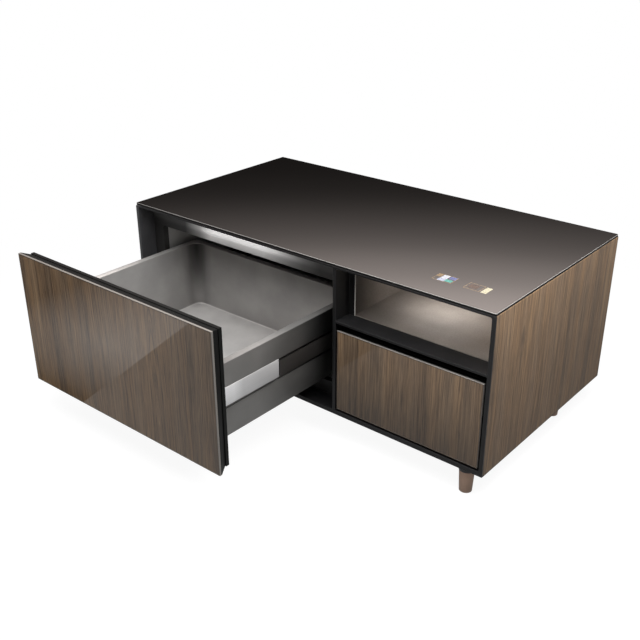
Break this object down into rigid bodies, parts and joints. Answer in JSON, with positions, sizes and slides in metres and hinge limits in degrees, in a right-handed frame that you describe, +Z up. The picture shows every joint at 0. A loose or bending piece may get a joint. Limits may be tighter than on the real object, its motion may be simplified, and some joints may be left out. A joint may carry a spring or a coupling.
{
  "type": "refrigerator coffee table",
  "caption": "Low rectangular coffee table with a refrigerator drawer, an open lit niche, a small drawer, a glass top with touch areas and short tapered feet.",
  "frame": {"origin": "on the floor, under the middle of the whole table with its refrigerator drawer standing open", "axes": "+X to the right as seen from the front, +Y towards the back (both drawers open towards -Y), +Z up"},
  "size_m": [1.1, 0.964, 0.466],
  "materials": {
    "dark_glass": "polished, dark",
    "walnut": "satin, walnut look",
    "walnut_glass": "glossy sheet with a wood look printed behind it",
    "frame_black": "satin black",
    "flange_steel": "satin",
    "liner_grey": "soft gloss, light grey",
    "bin_grey": "satin grey",
    "bin_shell": "satin dark grey",
    "silver": "satin",
    "slide_steel": "oiled, dark",
    "trim": "brushed, light",
    "gasket": "matt grey",
    "collar_black": "satin black",
    "bronze": "metallic bronze",
    "foam": "rough foam",
    "evaporator": "plain",
    "niche_beige": "satin, warm light grey",
    "light": "milky diffuser",
    "module": "glossy",
    "box_grey": "powder coated, dark grey",
    "base_grey": "satin dark grey",
    "compressor_black": "gloss black",
    "condenser_metal": "plain",
    "fan_black": "matt black",
    "fan_grey": "satin dark grey",
    "board_green": "satin",
    "inlet_black": "satin black",
    "copper": "bright tube"
  },
  "bodies": {
    "cabinet": {"back_panel": "base_grey", "base_panel": "base_grey", "bay_divider": "frame_black", "cavity_liner": "liner_grey", "charging_pad": "module", "compressor": "compressor_black", "condenser": "condenser_metal", "control_board": "board_green", "discharge_pipe": "copper", "evaporator_plate": "evaporator", "face_flange": "flange_steel", "fan_shroud": "fan_black", "foot_collar_front_left": "collar_black", "foot_collar_front_right": "collar_black", "foot_collar_rear_left": "collar_black", "foot_collar_rear_right": "collar_black", "foot_front_left": "bronze", "foot_front_right": "bronze", "foot_rear_left": "bronze", "foot_rear_right": "bronze", "fridge_slide_bracket_left": "slide_steel", "fridge_slide_bracket_right": "slide_steel", "fridge_slide_cabinet_left": "slide_steel", "fridge_slide_cabinet_right": "slide_steel", "front_frame": "frame_black", "insulation_body": "foam", "machine_partition": "frame_black", "niche_light": "light", "niche_liner": "niche_beige", "niche_shelf": "frame_black", "power_inlet": "inlet_black", "side_panel_left": "walnut", "side_panel_right": "walnut", "small_slide_cabinet_left": "slide_steel", "small_slide_cabinet_right": "slide_steel", "top_board": "frame_black", "top_glass": "dark_glass", "touch_display": "module"},
    "fridge_drawer": {"fridge_front_trim": "trim", "fridge_front_glass": "walnut_glass", "fridge_front_frame": "frame_black", "fridge_back_plate": "frame_black", "door_gasket": "gasket", "bin_tub": "bin_grey", "bin_base": "bin_shell", "rail_cover_left": "silver", "rail_cover_right": "silver", "fridge_slide_drawer_left": "slide_steel", "fridge_slide_drawer_right": "slide_steel"},
    "fridge_middle_left": {"fridge_slide_middle_left": "slide_steel"},
    "fridge_middle_right": {"fridge_slide_middle_right": "slide_steel"},
    "small_drawer": {"small_front_trim": "trim", "small_front_panel": "walnut_glass", "small_front_frame": "frame_black", "small_drawer_box": "box_grey", "small_slide_drawer_left": "slide_steel", "small_slide_drawer_right": "slide_steel"},
    "small_middle_left": {"small_slide_middle_left": "slide_steel"},
    "small_middle_right": {"small_slide_middle_right": "slide_steel"},
    "fan": {"fan_rotor": "fan_grey"}
  },
  "joints": [
    {"name": "fridge_drawer_slide", "type": "slide", "parent": "cabinet", "child": "fridge_drawer", "axis": [0, -1, 0], "range_m": [-0.374, 0.041]},
    {"name": "fridge_middle_left_slide", "type": "slide", "parent": "cabinet", "child": "fridge_middle_left", "axis": [0, -1, 0], "range_m": [-0.187, 0.0205]},
    {"name": "fridge_middle_right_slide", "type": "slide", "parent": "cabinet", "child": "fridge_middle_right", "axis": [0, -1, 0], "range_m": [-0.187, 0.0205]},
    {"name": "small_drawer_slide", "type": "slide", "parent": "cabinet", "child": "small_drawer", "axis": [0, -1, 0], "range_m": [0, 0.24]},
    {"name": "small_middle_left_slide", "type": "slide", "parent": "cabinet", "child": "small_middle_left", "axis": [0, -1, 0], "range_m": [0, 0.12]},
    {"name": "small_middle_right_slide", "type": "slide", "parent": "cabinet", "child": "small_middle_right", "axis": [0, -1, 0], "range_m": [0, 0.12]},
    {"name": "fan_spin", "type": "hinge", "parent": "cabinet", "child": "fan", "pos_m": [0.455, 0.3997, 0.1513], "axis": [0, 1, 0], "continuous": true}
  ],
  "couplings": [
    {"joint": "fridge_middle_left_slide", "follows": "fridge_drawer_slide", "ratio": 0.5},
    {"joint": "fridge_middle_right_slide", "follows": "fridge_drawer_slide", "ratio": 0.5},
    {"joint": "small_middle_left_slide", "follows": "small_drawer_slide", "ratio": 0.5},
    {"joint": "small_middle_right_slide", "follows": "small_drawer_slide", "ratio": 0.5}
  ]
}
